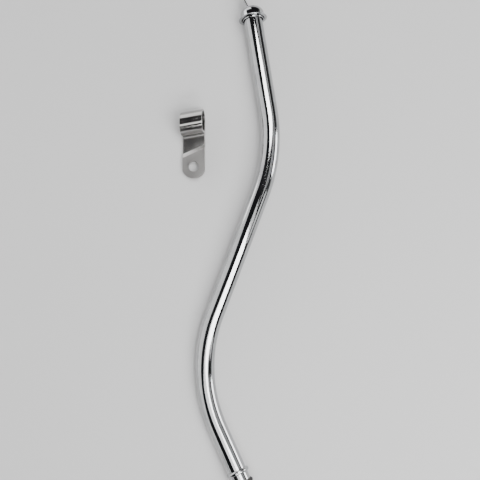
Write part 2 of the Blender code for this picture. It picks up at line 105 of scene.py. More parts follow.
LEVEL_HOLES = (0.0120, 0.0300)
LEVEL_HOLE_RADIUS = 0.0010
TIP_CORNER = 0.0014

STRAP_WIDTH = 0.01905
STRAP_THICKNESS = 0.0013
CLAMP_CLEARANCE = 0.0007
STRAP_LOOP_RADIUS = TUBE_RADIUS + CLAMP_CLEARANCE + STRAP_THICKNESS / 2
LOOP_SKEW = math.radians(8.5)
LEG_PITCH = STRAP_THICKNESS + GAP
PINCH_RADIUS = 0.0030
JOGGLE_FROM_PINCH = 0.0121
JOGGLE_HEIGHT = 0.0012
JOGGLE_RUN = 0.0034
JOGGLE_SKEW = math.radians(23.5)
JOGGLE_FILLET = 0.0009
HOLE_FROM_PINCH = 0.0255
HOLE_RADIUS = 0.00445
LEG_END_ROUNDING = 0.001
LEG_END_RADIUS = STRAP_WIDTH / 2 + LEG_END_ROUNDING
TAB_MARK_FROM_HOLE = Vector((0.0062, 0.0020))   # the record's tab mount, along and across the strap

MICRON = 0.000001
STRIP_CORNER = 0.00018             # rounding of a strip's long edges

# ---------------------------------------------------------------- camera
VIEW_TARGET = Vector((0.00808, 0.018316, 0.010))
VIEW_TILT = math.radians(5.5)            # from straight down, towards the tube's lower end
VIEW_DISTANCE = 0.7596
LENS_MM = 67.5
SENSOR_MM = 36.0


def joint_axis(name):
    for joint in frame["joints"]:
        if joint["name"] == name:
            return Vector(joint["axis"]).normalized()
    raise KeyError(name)


def columns(side, along, up, place):
    turn = Matrix((side, along, up)).transposed().to_4x4()
    return Matrix.Translation(place) @ turn


def box_centre(node):
    low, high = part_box(node)
    return (low + high) / 2


def dipstick_matrix():
    """+Y draws the dipstick out of the mouth, +Z is the normal of the plane the tube is bent in."""
    along = joint_axis("dipstick_pull")
    up = along.cross(joint_axis("blade_tip_follow")).normalized()
    side = along.cross(up)
    lean = along * math.cos(CAP_COCK) - up * math.sin(CAP_COCK)
    sleeve_middle = (MOUTH_ABOVE_BRIM - SLEEVE_BELOW_BRIM) / 2
    return columns(side, along, up, box_centre("cap_sleeve") - lean * sleeve_middle)


def clamp_matrix():
    """+X to the loop, +Y up through the legs, +Z across the strap, origin under the loop's middle."""
    mount = next(m for m in frame["record"]["mounts"] if m["name"] == "clamp_tab_top")
    up = Vector(mount["axis"]).normalized()
    along = Vector((0.0, 1.0, 0.0))
    across = along.cross(up)
    top = STRAP_THICKNESS + LEG_PITCH + JOGGLE_HEIGHT
    local = Vector((HOLE_X + TAB_MARK_FROM_HOLE.x, top, TAB_MARK_FROM_HOLE.y))
    turn = Matrix((along, up, across)).transposed()
    return Matrix.Translation(Vector(mount["pos_m"]) - turn @ local) @ turn.to_4x4()


# ---------------------------------------------------------------- the tube's centreline
def heading_vector(heading):
    return Vector((math.sin(heading), -math.cos(heading)))


class Route:
    """Straights and arcs in the tube's plane, walked from the brim plane to the lower end."""

    def __init__(self):
        self.legs = []
        self.length = 0.0
        place, heading = Vector((0.0, 0.0)), MOUTH_HEADING
        plan = [(TOP_STRAIGHT, None), UPPER_BEND, (MIDDLE_STRAIGHT, None), LOWER_BEND,
                (BOTTOM_STRAIGHT + INSERT_LENGTH, None)]
        for size, angle in plan:
            run = size if angle is None else size * abs(angle)
            self.legs.append((self.length, run, size, angle, place, heading))
            self.length += run
            place, heading = self.end_of(self.legs[-1], run)

    @staticmethod
    def end_of(leg, run):
        _, whole, size, angle, place, heading = leg
        if angle is None:
            return place + heading_vector(heading) * run, heading
        turn = angle * run / whole
        chord = 2 * size * math.sin(abs(turn) / 2)
        return place + heading_vector(heading + turn / 2) * chord, heading + turn

    def at(self, length):
        leg = self.legs[0]
        for candidate in self.legs[1:]:
            if length >= candidate[0]:
                leg = candidate
        return self.end_of(leg, length - leg[0])

    def bend_at(self, length):
        """1 in a bend, 0 on a straight, with soft ends, for the marks that bending leaves."""
        ease = 0.012
        level = 0.0
        for start, run, _, angle, _, _ in self.legs:
            if angle is not None:
                inside = min(length - start, start + run - length)
                level = max(level, min(1.0, max(0.0, inside / ease + 0.5)))
        return level


ROUTE = Route()
BEAD_AT = ROUTE.length - INSERT_LENGTH


def along_route(length):
    place, heading = ROUTE.at(length)
    return Matrix.Translation((*place, 0.0)) @ Matrix.Rotation(heading, 4, "Z")


# ---------------------------------------------------------------- mesh making
def finish_mesh(name, bm, matrix, sharp=38.0):
    bmesh.ops.recalc_face_normals(bm, faces=bm.faces)
    mesh = bpy.data.meshes.new(name)
    bm.to_mesh(mesh)
    bm.free()
    mesh.transform(matrix)
    mesh.shade_smooth()
    mesh.set_sharp_from_angle(angle=math.radians(sharp))
    thing = bpy.data.objects.new(name, mesh)
    bpy.context.scene.collection.objects.link(thing)
    return thing


def bridge(bm, rings, closed_ends=False, loop_rings=False):
    """Quads between rings of vertices; each ring is closed on itself."""
    count = len(rings)
    last = count if loop_rings else count - 1
    for index in range(last):
        low, high = rings[index], rings[(index + 1) % count]
        size = len(low)
        for corner in range(size):
            after = (corner + 1) % size
            bm.faces.new((low[corner], low[after], high[after], high[corner]))
    if closed_ends:
        bm.faces.new(rings[0])
        bm.faces.new(rings[-1])


def arc(centre, radius, start, end, steps):
    """Points on an arc in a plane, angles in degrees, both ends included."""
    points = []
    for step in range(steps + 1):
        angle = math.radians(start + (end - start) * step / steps)
        points.append((centre[0] + radius * math.cos(angle), centre[1] + radius * math.sin(angle)))
    return points


def lathe(name, profile, matrix, segments=96, closed=True):
    """Turn a profile of (radius, height) about the local Y axis."""
    bm = bmesh.new()
    rings = []
    for radius, height in profile:
        if radius < 1e-6:
            rings.append([bm.verts.new((0.0, height, 0.0))])
            continue
        ring = []
        for corner in range(segments):
            angle = math.tau * corner / segments
            ring.append(bm.verts.new((radius * math.cos(angle), height, radius * math.sin(angle))))
        rings.append(ring)
    pairs = list(zip(rings, rings[1:]))
    if closed:
        pairs.append((rings[-1], rings[0]))
    for low, high in pairs:
        for corner in range(segments):
            after = (corner + 1) % segments
            if len(low) == 1:
                bm.faces.new((low[0], high[after], high[corner]))
            elif len(high) == 1:
                bm.faces.new((low[corner], low[after], high[0]))
            else:
                bm.faces.new((low[corner], low[after], high[after], high[corner]))
    return finish_mesh(name, bm, matrix)


def rounded_section(thickness, width, corner, steps=3):
    """Rounded rectangle, thickness along the first axis and width along the second."""
    half_t, half_w = thickness / 2 - corner, width / 2 - corner
    points = []
    for sign_t, sign_w, start in ((1, 1, 0), (-1, 1, 90), (-1, -1, 180), (1, -1, 270)):
        points += arc((sign_t * half_t, sign_w * half_w), corner, start, start + 90, steps)
    return points


def fillet(points, radius, steps=5):
    """Round the corners of an open flat polyline."""
    made = [points[0]]
    for before, corner, after in zip(points, points[1:], points[2:]):
        back, ahead = (before - corner).normalized(), (after - corner).normalized()
        turn = math.pi - back.angle(ahead)
        if turn < math.radians(3.0):
            made.append(corner)
            continue
        reach = radius * math.tan(turn / 2)
        start, end = corner + back * reach, corner + ahead * reach
        for step in range(steps + 1):
            share = step / steps
            made.append((1 - share) ** 2 * start + 2 * share * (1 - share) * corner + share ** 2 * end)
    made.append(points[-1])
    return made


def sweep_strip(name, points, width, thickness, matrix, corner=STRIP_CORNER, shear=None):
    """A flat strip along a flat polyline, with rounded edges and softened ends."""
    section = rounded_section(thickness, width, corner)
    bm = bmesh.new()
    rings = []
    places = [Vector(p) for p in points]
    first = (places[1] - places[0]).normalized()
    last = (places[-1] - places[-2]).normalized()
    end_scale = 1.0 - 2 * corner / thickness
    rows = [(places[0], first, end_scale), (places[0] + first * corner, first, 1.0)]
    for index in range(1, len(places) - 1):
        back = (places[index] - places[index - 1]).normalized()
        ahead = (places[index + 1] - places[index]).normalized()
        rows.append((places[index], (back + ahead).normalized(), 1.0))
    rows += [(places[-1] - last * corner, last, 1.0), (places[-1], last, end_scale)]
    for place, tangent, scale in rows:
        normal = Vector((-tangent.y, tangent.x))
        ring = []
        for across, high in section:
            shrink = width / 2 - (1.0 - scale) * thickness / 2
            flat = place + normal * across * scale
            vertex = bm.verts.new((flat.x, flat.y, max(-shrink, min(shrink, high))))
            if shear:
                vertex.co.x += shear(place) * vertex.co.z
            ring.append(vertex)
        rings.append(ring)
    bridge(bm, rings, closed_ends=True)
    return finish_mesh(name, bm, matrix)


def cutter_rod(radius, length, place, axis, matrix, segments=64):
    bm = bmesh.new()
    bmesh.ops.create_cone(bm, cap_ends=True, segments=segments, radius1=radius, radius2=radius, depth=length)
    turn = Vector((0.0, 0.0, 1.0)).rotation_difference(Vector(axis)).to_matrix().to_4x4()
    return finish_mesh("cutter", bm, matrix @ Matrix.Translation(Vector(place)) @ turn)


def cutter_box(size, place, matrix):
    bm = bmesh.new()
    bmesh.ops.create_cube(bm, size=1.0)
    bmesh.ops.scale(bm, vec=Vector(size), verts=bm.verts)
    bmesh.ops.translate(bm, vec=Vector(place), verts=bm.verts)
    return finish_mesh("cutter", bm, matrix)


def carve(target, cutters):
    """Cut the cutters out of the target and drop them."""
    for cutter in cutters:
        boolean = target.modifiers.new("carve", "BOOLEAN")
        boolean.operation = "DIFFERENCE"
        boolean.solver = "EXACT"
        boolean.object = cutter
    apply_modifiers(target)
    for cutter in cutters:
        bpy.data.objects.remove(cutter, do_unlink=True)


def apply_modifiers(thing):
    bpy.context.view_layer.update()
    depsgraph = bpy.context.evaluated_depsgraph_get()
    mesh = bpy.data.meshes.new_from_object(thing.evaluated_get(depsgraph))
    thing.modifiers.clear()
    thing.data = mesh


def keep_flats_flat(thing):
    """Normals weighted by face area, so that rounded corners don't shade the flats beside them."""
    weighted = thing.modifiers.new("flat shading", "WEIGHTED_NORMAL")
    weighted.mode = "FACE_AREA"
    weighted.weight = 100        # the largest faces decide alone
    weighted.keep_sharp = True
    apply_modifiers(thing)


def soften_edges(thing, width, segments, angle):
    bevel = thing.modifiers.new("soft edges", "BEVEL")
    bevel.width = width
    bevel.segments = segments
    bevel.limit_method = "ANGLE"
    bevel.angle_limit = math.radians(angle)
    apply_modifiers(thing)
    thing.data.shade_smooth()
    thing.data.set_sharp_from_angle(angle=math.radians(angle))


# ---------------------------------------------------------------- materials
CHROME_BRIGHT = (0.45, 0.454, 0.46)   # darker than clean chromium, so that it stands out from the floor
CHROME_DULL = (0.38, 0.383, 0.39)
# the clamp's step is coloured lighter than the strap as a painted highlight; STRAP_DULL is the strap's own colour
STEP_PAINTED_HIGHLIGHT = (0.62, 0.61, 0.60)
STRAP_DULL = (0.36, 0.352, 0.345)
STEP_HIGHLIGHT_WEIGHT = 6.0                       # how far the step's painted highlight stands out from the strap's own tones
BLADE_TONES = ((0.62, 0.62, 0.64), (0.40, 0.40, 0.42))
HANDLE_TONES = ((0.86, 0.86, 0.87), (0.68, 0.68, 0.69))


class Nodes:
    """Small helper for building a node tree in reading order."""

    def __init__(self, name):
        self.material = bpy.data.materials.new(name)
        self.material.use_nodes = True
        self.tree = self.material.node_tree
        self.shader = self.tree.nodes["Principled BSDF"]
        self.coords = self.node("ShaderNodeTexCoord").outputs["Object"]

    def node(self, kind, **values):
        made = self.tree.nodes.new(kind)
        for key, value in values.items():
            setattr(made, key, value)
        return made

    def link(self, source, target):
        self.tree.links.new(source, target)

    def stretched(self, scale):
        mapping = self.node("ShaderNodeMapping")
        mapping.inputs["Scale"].default_value = scale
        self.link(self.coords, mapping.inputs["Vector"])
        return mapping.outputs["Vector"]

    def noise(self, scale, detail=3.0, roughness=0.55, vector=None):
        made = self.node("ShaderNodeTexNoise")
        made.inputs["Scale"].default_value = scale
        made.inputs["Detail"].default_value = detail
        made.inputs["Roughness"].default_value = roughness
        self.link(vector or self.coords, made.inputs["Vector"])
        return made.outputs["Fac"]

    def cells(self, scale):
        made = self.node("ShaderNodeTexVoronoi", feature="F1")
        made.inputs["Scale"].default_value = scale
        self.link(self.coords, made.inputs["Vector"])
        return made

    def span(self, source, low, high, to_low, to_high):
        made = self.node("ShaderNodeMapRange")
        made.inputs["From Min"].default_value = low
        made.inputs["From Max"].default_value = high
        made.inputs["To Min"].default_value = to_low
        made.inputs["To Max"].default_value = to_high
        self.link(source, made.inputs["Value"])
        return made.outputs["Result"]

    def math(self, operation, first, second):
        made = self.node("ShaderNodeMath", operation=operation)
        for socket, value in zip(made.inputs, (first, second)):
            if isinstance(value, (int, float)):
                socket.default_value = value
            else:
                self.link(value, socket)
        return made.outputs["Value"]

    def attribute(self, name):
        return self.node("ShaderNodeAttribute", attribute_name=name).outputs["Fac"]

    def mix(self, factor, first, second):
        made = self.node("ShaderNodeMix", data_type="RGBA")
        self.link(factor, made.inputs["Factor"])
        made.inputs[6].default_value = (*first, 1.0)
        made.inputs[7].default_value = (*second, 1.0)
        return made.outputs[2]

    def bump(self, height, distance, normal=None):
        made = self.node("ShaderNodeBump")
        made.inputs["Distance"].default_value = distance
        made.inputs["Strength"].default_value = 1.0
        self.link(height, made.inputs["Height"])
        if normal:
            self.link(normal, made.inputs["Normal"])
        return made.outputs["Normal"]

    def finish(self, color=None, roughness=None, normal=None, metallic=0.0):
        self.shader.inputs["Metallic"].default_value = metallic
        if color:
            self.link(color, self.shader.inputs["Base Color"])
        if roughness:
            self.link(roughness, self.shader.inputs["Roughness"])
        if normal:
            self.link(normal, self.shader.inputs["Normal"])
        return self.material


def chrome(name, rough=(0.03, 0.09), attribute=None):
    """Plated steel: soft smudges, fine polishing lines, tiny pits and a faint orange peel."""
    n = Nodes(name)
    smudge = n.noise(55.0, 4.0, 0.6)
    color = n.mix(n.span(smudge, 0.42, 0.68, 0.0, 1.0), CHROME_BRIGHT, CHROME_DULL)
    roughness = n.span(smudge, 0.35, 0.75, rough[0], rough[1])
    peel = n.noise(420.0, 2.0, 0.5)
    fine = n.noise(2600.0, 2.0, 0.6)
    pits = n.span(n.cells(900.0).outputs["Distance"], 0.0, 0.10, 1.0, 0.0)
    normal = n.bump(peel, 6 * MICRON)
    normal = n.bump(fine, 1.2 * MICRON, normal)
    normal = n.bump(pits, -4 * MICRON, normal)
    if attribute:
        mask = n.attribute(attribute)
        roughness = n.math("ADD", roughness, n.math("MULTIPLY", mask, 0.03))
        ripple = n.math("MULTIPLY", n.noise(700.0, 4.0, 0.65), mask)
        normal = n.bump(ripple, 18 * MICRON, normal)
    return n.finish(color, roughness, normal, metallic=1.0)


def satin_chrome(name):
    """The clamp's plating: glossy loop, satin legs with rolling marks, and a step painted lighter as a highlight.
    """
    n = Nodes(name)
    flat = n.attribute("satin")
    step = n.attribute("step")
    smudge = n.noise(130.0, 4.0, 0.6)
    lines = n.noise(60.0, 3.0, 0.6, n.stretched((60.0, 3.0, 60.0)))
    wear = n.math("MULTIPLY", n.span(smudge, 0.35, 0.7, 0.0, 1.0), 0.2)
    tone_and_painted_highlight = n.math("ADD", n.math("MULTIPLY", flat, 0.8), wear)
    # the step's faces are coloured lighter here, a painted highlight standing in for the light they catch
    tone_and_painted_highlight = n.math("SUBTRACT", tone_and_painted_highlight, n.math("MULTIPLY", step, STEP_HIGHLIGHT_WEIGHT))
    color = n.mix(n.span(tone_and_painted_highlight, -STEP_HIGHLIGHT_WEIGHT, 1.0, 0.0, 1.0), STEP_PAINTED_HIGHLIGHT, STRAP_DULL)
    roughness = n.math("ADD", n.span(smudge, 0.3, 0.7, 0.12, 0.20),
                       n.math("MULTIPLY", flat, n.span(lines, 0.3, 0.7, 0.14, 0.22)))
    roughness = n.math("ADD", roughness, n.math("MULTIPLY", step, 0.12))
    normal = n.bump(n.noise(500.0, 3.0, 0.6), 10 * MICRON)
    normal = n.bump(n.math("MULTIPLY", lines, flat), 1.2 * MICRON, normal)
    teeth = n.node("ShaderNodeTexWave", wave_type="BANDS", bands_direction="X")
    teeth.inputs["Scale"].default_value = 420.0
    n.link(n.coords, teeth.inputs["Vector"])
    normal = n.bump(n.math("MULTIPLY", teeth.outputs["Fac"], step), 60 * MICRON, normal)
    return n.finish(color, roughness, normal, metallic=1.0)


def rolled_steel(name, bright, dark, rough=(0.18, 0.34), marks=False):
    """Strip steel with rolling lines and a little staining."""
    n = Nodes(name)
    lines = n.noise(18.0, 4.0, 0.65, n.stretched((6.0, 260.0, 6.0)))
    stain = n.noise(60.0, 5.0, 0.6)
    color = n.mix(n.span(n.math("MULTIPLY", lines, stain), 0.15, 0.40, 0.0, 1.0), dark, bright)
    roughness = n.span(stain, 0.3, 0.7, rough[0], rough[1])
    normal = n.bump(lines, 12 * MICRON)
    if marks:
        etched = n.attribute("etched")
        roughness = n.math("ADD", roughness, n.math("MULTIPLY", etched, 0.3))
        normal = n.bump(etched, -60 * MICRON, normal)
    return n.finish(color, roughness, normal, metallic=1.0)


def zinc(name):
    n = Nodes(name)
    spangle = n.cells(700.0).outputs["Color"]
    wear = n.noise(300.0, 4.0, 0.6)
    color = n.mix(n.span(wear, 0.35, 0.65, 0.0, 1.0), (0.74, 0.74, 0.76), (0.58, 0.58, 0.61))
    roughness = n.span(spangle, 0.0, 1.0, 0.20, 0.34)
    return n.finish(color, roughness, n.bump(wear, 8 * MICRON), metallic=1.0)


def rubber(name):
    n = Nodes(name)
    grain = n.noise(1600.0, 4.0, 0.6)
    bloom = n.noise(120.0, 4.0, 0.6)
    color = n.mix(n.span(bloom, 0.4, 0.7, 0.0, 1.0), (0.014, 0.014, 0.015), (0.045, 0.044, 0.043))
    return n.finish(color, n.span(bloom, 0.3, 0.7, 0.55, 0.8), n.bump(grain, 30 * MICRON))


def floor_finish():
    n = Nodes("pale_floor")
    color = n.mix(n.noise(3.0, 3.0, 0.5), (0.56, 0.56, 0.56), (0.59, 0.59, 0.59))
    n.shader.inputs["Roughness"].default_value = 0.75
    return n.finish(color)


def dress(thing, material):
    thing.data.materials.clear()
    thing.data.materials.append(material)
    return thing


# ---------------------------------------------------------------- tube
def bead_profile():
    """Outer radius along the stop bead, with a small hollow where it meets the tube."""
    half = BEAD_LENGTH / 2
    reach = half * 1.35
    fullness = 0.8
    steps = 16
    points = [(BEAD_AT - reach, TUBE_RADIUS)]
    for step in range(steps + 1):
        angle = math.pi * step / steps
        rise = BEAD_RISE * math.sin(angle) ** fullness
        points.append((BEAD_AT - half * math.cos(angle), TUBE_RADIUS + rise))
    points.append((BEAD_AT + reach, TUBE_RADIUS))
    return points


def tube_profile():
    """(distance, radius) pairs down the outside and back up the bore."""
    lip = 0.0003                         # rounding of the outer edges
    burr = 0.0002                        # chamfer of the bore's edges
    lead, lead_depth = 0.0012, 0.0005    # taper that guides the lower end into its case
    bend_pitch, straight_pitch = math.radians(1.2), 0.006
    bead_room = BEAD_LENGTH * 0.75
    bore_margin = 0.0005
    bore = TUBE_RADIUS - TUBE_WALL
    top = -MOUTH_ABOVE_BRIM
    end = ROUTE.length
    outer = [(top + lip - lip * math.sin(a), TUBE_RADIUS - lip + lip * math.cos(a))
             for a in (math.radians(d) for d in (90, 60, 30, 0))]
    body = [(0.0, TUBE_RADIUS)]
    for start, run, _, angle, _, _ in ROUTE.legs:
        pitch = bend_pitch * run / abs(angle) if angle else straight_pitch
        count = max(1, round(run / pitch))
        body += [(start + run * step / count, TUBE_RADIUS) for step in range(count + 1)]
    body = [p for p in body if abs(p[0] - BEAD_AT) > bead_room and p[0] < end - lead]
    outside = sorted({(round(s, 7), r) for s, r in [*body, *bead_profile()]})
    foot = [(end - lead, TUBE_RADIUS), (end - lip, TUBE_RADIUS - lip), (end, TUBE_RADIUS - lead_depth)]
    inside = [(end, bore + burr), (end - burr, bore)]
    inside += [(s, bore) for s, _ in reversed(body) if bore_margin < s < end - bore_margin]
    inside += [(top + burr, bore), (top, bore + burr)]
    return [*outer, *outside, *foot, *inside]


def filler_tube(base):
    bm = bmesh.new()
    layer = bm.verts.layers.float.new("bend")
    segments = 96
    rings = []
    for distance, radius in tube_profile():
        place, heading = ROUTE.at(distance)
        side = Vector((math.cos(heading), math.sin(heading)))
        level = ROUTE.bend_at(distance)
        ring = []
        for corner in range(segments):
            angle = math.tau * corner / segments
            flat = place + side * radius * math.cos(angle)
            vertex = bm.verts.new((flat.x, flat.y, radius * math.sin(angle)))
            vertex[layer] = level
            ring.append(vertex)
        rings.append(ring)
    bridge(bm, rings, loop_rings=True)
    tube = finish_mesh("filler_tube_chrome", bm, base, sharp=50.0)
    dress(tube, chrome("tube_chrome", attribute="bend"))
    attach(tube, "tube")
    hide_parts("filler_tube")


def lower_seal(base):
    fit = 0.0001                         # over the tube, closer than the frame's clearance
    edge = 0.0002
    rib_slope = 1.5
    inner = TUBE_RADIUS + fit
    outer = BEAD_RADIUS - GAP
    root = outer - SEAL_RIB
    pitch = SEAL_LENGTH / SEAL_RIBS
    steps = 12
    profile = [(inner, SEAL_LENGTH / 2 - edge), (inner + edge, SEAL_LENGTH / 2)]
    for rib in range(SEAL_RIBS):
        top = SEAL_LENGTH / 2 - rib * pitch
        for step in range(steps + 1):
            share = step / steps
            rise = (outer - root) * math.sin(math.pi * share) ** rib_slope
            profile.append((root + rise, top - pitch * share))
    profile += [(inner + edge, -SEAL_LENGTH / 2), (inner, -SEAL_LENGTH / 2 + edge)]
    place = along_route(BEAD_AT + BEAD_LENGTH / 2 + SEAL_BELOW_BEAD + SEAL_LENGTH / 2)
    seal = dress(lathe("lower_seal_rubber", profile, base @ place), rubber("seal_rubber"))
    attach(seal, "tube")
    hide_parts("lower_seal")


# ---------------------------------------------------------------- cap
def cap_profile():
    """Domed crown, a small hollow at its foot, a brim with a rolled edge, then the inside."""
    outer = [(CROWN_RADIUS * math.sin(a), CROWN_STRAIGHT + DOME_HEIGHT * math.cos(a))
             for a in (math.pi / 2 * step / 24 for step in range(25))]
    hollow, roll, chamfer = 0.0007, BRIM_THICKNESS / 2, 0.0005
    foot = arc((CROWN_RADIUS + hollow, BRIM_THICKNESS + hollow), hollow, 180, 270, 5)
    edge = arc((BRIM_RADIUS - FACET_DEPTH - roll, roll), roll, 90, -90, 8)
    bore = CROWN_RADIUS - CROWN_WALL
    under = [(bore + chamfer, 0.0), (bore, chamfer)]
    inner = [(bore * math.sin(a), CROWN_STRAIGHT + (DOME_HEIGHT - CROWN_WALL) * math.cos(a))
             for a in (math.pi / 2 * step / 16 for step in range(16, -1, -1))]
    return [*outer, *foot, *edge, *under, *inner]


def cap_shell(cap):
    shell = lathe("cap_shell_chrome", cap_profile(), cap, segments=128, closed=False)
    slot = cutter_box((HANDLE_THICKNESS + 4 * GAP, DOME_HEIGHT, STRIP_WIDTH + 2 * GAP),
                      (-HANDLE_OFFSET, CROWN_STRAIGHT + DOME_HEIGHT - CROWN_WALL, 0.0), cap)
    carve(shell, [slot])
    shell.data.shade_smooth()
    shell.data.set_sharp_from_angle(angle=math.radians(45.0))
    dress(shell, chrome("cap_chrome", rough=(0.03, 0.10)))
    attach(shell, "dipstick")
    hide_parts("cap_shell")


def ring_piece(name, node, inner, outer, low, high, edge, cap, material):
    """A plain ring or washer with rounded edges."""
    profile = [
        *arc((outer - edge, high - edge), edge, 90, 0, 3),
        *arc((outer - edge, low + edge), edge, 0, -90, 3),
        *arc((inner + edge, low + edge), edge, -90, -180, 3),
        *arc((inner + edge, high - edge), edge, 180, 90, 3),
    ]
    piece = dress(lathe(name, profile, cap), material)
    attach(piece, "dipstick")
    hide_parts(node)


def cap_insides(cap):
    hole = math.hypot(HANDLE_OFFSET + HANDLE_THICKNESS / 2, STRIP_WIDTH / 2) + GAP
    gasket_low, gasket_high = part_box("cap_gasket")
    shy = 0.0001                         # keeps the round gasket inside the faceted one
    spread = (gasket_high - gasket_low).x / 2 - shy
    ring_piece("cap_sleeve_plated", "cap_sleeve", SLEEVE_RADIUS - SLEEVE_WALL, SLEEVE_RADIUS,
               -SLEEVE_BELOW_BRIM, MOUTH_ABOVE_BRIM, 0.0002, cap, chrome("sleeve_chrome"))
    ring_piece("cap_gasket_rubber", "cap_gasket", hole, spread, GASKET_BASE, GASKET_BASE + GASKET_THICKNESS,
               0.0003, cap, rubber("gasket_rubber"))
    dress(frame["nodes"]["cap_retainer"], zinc("retainer_zinc"))


# ---------------------------------------------------------------- dipstick
def handle_points():
    """Tongue, lean and loop as a flat polyline in the cap's X-Y plane."""
    lean = Vector((-math.sin(HANDLE_LEAN), math.cos(HANDLE_LEAN)))
    leave = Vector((-HANDLE_OFFSET, CROWN_STRAIGHT + DOME_HEIGHT - CROWN_WALL))
    rise = (HANDLE_LOOP_RADIUS - HANDLE_OFFSET * math.cos(HANDLE_LEAN)) / math.sin(HANDLE_LEAN)
    centre = leave + Vector((HANDLE_OFFSET, rise))
    start = math.pi + HANDLE_LEAN
    steps = 72
    straight, crook = 0.006, 0.004       # the run that leaves the dome, and the rounding where it leans
    loop = []
    for step in range(steps + 1):
        angle = start - HANDLE_LOOP_SWEEP * step / steps
        loop.append(centre + Vector((math.cos(angle), math.sin(angle))) * HANDLE_LOOP_RADIUS)
    foot = fillet([Vector((-HANDLE_OFFSET, -TONGUE_LENGTH)), leave, leave + lean * straight], crook)
    return [*foot[:-1], *loop]


def rivet_holes(side, length, cap):
    """Cutters through a strip that lies side off the cap's axis."""
    return [cutter_rod(RIVET_RADIUS + GAP, length, (side, -depth, 0.0), (1.0, 0.0, 0.0), cap)
            for depth in RIVET_DEPTHS]


def handle(cap):
    strip = sweep_strip("handle_loop_strip", handle_points(), STRIP_WIDTH, HANDLE_THICKNESS, cap, 0.0003)
    carve(strip, rivet_holes(-HANDLE_OFFSET, 0.004, cap))
    keep_flats_flat(strip)
    dress(strip, rolled_steel("handle_steel", *HANDLE_TONES, (0.10, 0.22)))
    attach(strip, "dipstick")
    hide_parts("handle_loop")


def rivets(cap):
    low = -HANDLE_OFFSET - HANDLE_THICKNESS / 2 - GAP
    high = BLADE_SIDE + BLADE_THICKNESS / 2 + GAP
    head = [(RIVET_HEAD_RADIUS * math.sin(a), RIVET_HEAD_THICKNESS * math.cos(a))
            for a in (math.pi / 2 * step / 8 for step in range(9))]
    profile = [*[(r, high + h) for r, h in head], (RIVET_RADIUS, high), (RIVET_RADIUS, low),
               *[(r, low - h) for r, h in reversed(head)]]
    finish = zinc("rivet_zinc")
    for name, depth in zip(("blade_rivet_upper", "blade_rivet_lower"), RIVET_DEPTHS):
        place = cap @ Matrix.Translation((0.0, -depth, 0.0)) @ Matrix.Rotation(math.radians(-90.0), 4, "Z")
        rivet = dress(lathe(name + "_domed", profile, place, segments=40, closed=False), finish)
        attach(rivet, "dipstick")
        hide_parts(name)


def blades(base, axis, cap):
    """The straight blade below the cap, and the stretch that follows the tube's bends."""
    steel = rolled_steel("blade_steel", *BLADE_TONES)
    rows = [(BLADE_SIDE, -depth) for depth in (BLADE_START, 0.040, BLADE_UPPER_END)]
    upper = sweep_strip("blade_upper_strip", rows, STRIP_WIDTH, BLADE_THICKNESS, axis)
    carve(upper, rivet_holes(BLADE_SIDE, 0.002, cap))
    start, end = BLADE_UPPER_END + GAP, ROUTE.length - BLADE_TIP_INSIDE - GAP
    steps = 120
    aside = Vector((BLADE_MIDDLE_SIDE, 0.0))
    path = []
    for step in range(steps + 1):
        place, heading = ROUTE.at(start + (end - start) * step / steps)
        path.append(place + Matrix.Rotation(heading, 2) @ aside)
    middle = sweep_strip("blade_middle_strip", path, STRIP_WIDTH, BLADE_THICKNESS, base)
    for piece, body, node in ((upper, "dipstick", "blade_upper"), (middle, "tube", "blade_middle")):
        keep_flats_flat(piece)
        dress(piece, steel)
        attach(piece, body)
        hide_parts(node)


def blade_tip(base):
    """Pointed end of the blade with two level holes and a hatched full zone between them."""
    place = base @ along_route(ROUTE.length)
    span = BLADE_TIP_INSIDE + BLADE_TIP_OUTSIDE
    rows = 110
    tip = sweep_strip("blade_tip_strip",
                      [(0.0, BLADE_TIP_INSIDE - span * row / rows) for row in range(rows + 1)],
                      STRIP_WIDTH, BLADE_THICKNESS, place, 0.00012)
    cutters = [cutter_rod(LEVEL_HOLE_RADIUS, 0.01, (0.0, rise - BLADE_TIP_OUTSIDE, 0.0), (1.0, 0.0, 0.0),
                          place, 40)
               for rise in LEVEL_HOLES]
    for side in (1, -1):
        turn = (Matrix.Translation((0.0, -BLADE_TIP_OUTSIDE, side * STRIP_WIDTH / 2))
                @ Matrix.Rotation(math.radians(-45.0 * side), 4, "X"))
        cutters.append(cutter_box((STRIP_WIDTH,) * 3, (0.0, TIP_CORNER - STRIP_WIDTH / 2, 0.0), place @ turn))
    carve(tip, cutters)
    keep_flats_flat(tip)
    mark_full_zone(tip, place.inverted())
    dress(tip, rolled_steel("tip_steel", *BLADE_TONES, marks=True))
    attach(tip, "blade_end")
    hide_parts("blade_tip")


def mark_full_zone(tip, to_local):
    """Write the hatch between the two level holes as an attribute that the steel reads."""
    margin, pitch = 0.0025, 0.002
    low = LEVEL_HOLES[0] - BLADE_TIP_OUTSIDE + margin
    high = LEVEL_HOLES[1] - BLADE_TIP_OUTSIDE - margin
    layer = tip.data.attributes.new("etched", "FLOAT", "POINT")
    for index, vertex in enumerate(tip.data.vertices):
        local = to_local @ vertex.co
        in_zone = low < local.y < high
        phase = (local.y % pitch) / pitch
        layer.data[index].value = 1.0 if in_zone and phase < 0.5 else 0.0


# ---------------------------------------------------------------- clamp
def pinch_point():
    """Centre of the small bend where the upper leg leaves the loop, and the centre of the loop."""
    low = STRAP_THICKNESS / 2
    high = low + LEG_PITCH
    centre = Vector((0.0, low + STRAP_LOOP_RADIUS))
    drop = centre.y - high - PINCH_RADIUS
    run = math.sqrt((STRAP_LOOP_RADIUS + PINCH_RADIUS) ** 2 - drop ** 2)
    return Vector((-run, high + PINCH_RADIUS)), centre


PINCH, LOOP_CENTRE = pinch_point()
HOLE_X = PINCH.x - HOLE_FROM_PINCH
STEP_FOOT = PINCH.x - JOGGLE_FROM_PINCH + JOGGLE_RUN / 2
STEP_HEAD = STEP_FOOT - JOGGLE_RUN


